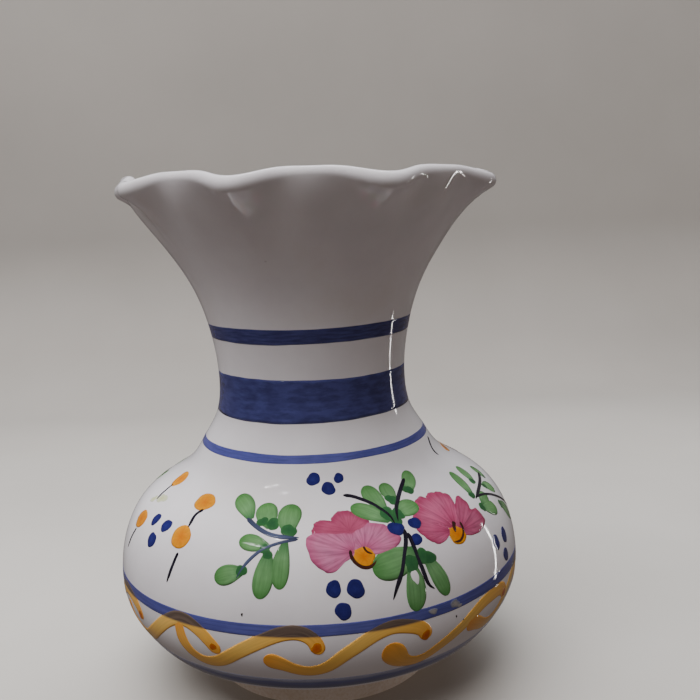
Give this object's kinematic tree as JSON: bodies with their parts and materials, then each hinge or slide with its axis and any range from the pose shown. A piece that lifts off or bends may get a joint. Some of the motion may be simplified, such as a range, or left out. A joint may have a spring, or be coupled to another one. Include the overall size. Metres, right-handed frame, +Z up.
{
  "type": "vase",
  "caption": "Round-bellied ceramic vase with a waisted neck and a crimped trumpet mouth, tin-glazed and painted with blue bands.",
  "frame": {"origin": "centre of the foot, on the surface that the vase stands on", "axes": "+Z up along the vase's axis; -Y is the painted front; X to the right seen from the front"},
  "size_m": [0.1626, 0.1626, 0.2013],
  "materials": {
    "bare_clay": "unglazed, fine-grained, matt",
    "tin_glaze": "white tin glaze, high gloss",
    "cobalt": "brushed cobalt blue under gloss",
    "dark_cobalt": "thick dark cobalt under gloss"
  },
  "bodies": {
    "root": {"foot_ring": "bare_clay", "lower_bowl": "bare_clay", "shoulder": "bare_clay", "neck": "bare_clay", "trumpet": "bare_clay", "crimped_mouth": "bare_clay", "outside_glaze": "tin_glaze", "inside_glaze": "tin_glaze", "lip_glaze": "tin_glaze", "mouth_band": "dark_cobalt", "waist_band": "dark_cobalt", "neck_root_band": "cobalt", "belly_band": "cobalt", "foot_band": "cobalt"}
  },
  "joints": []
}
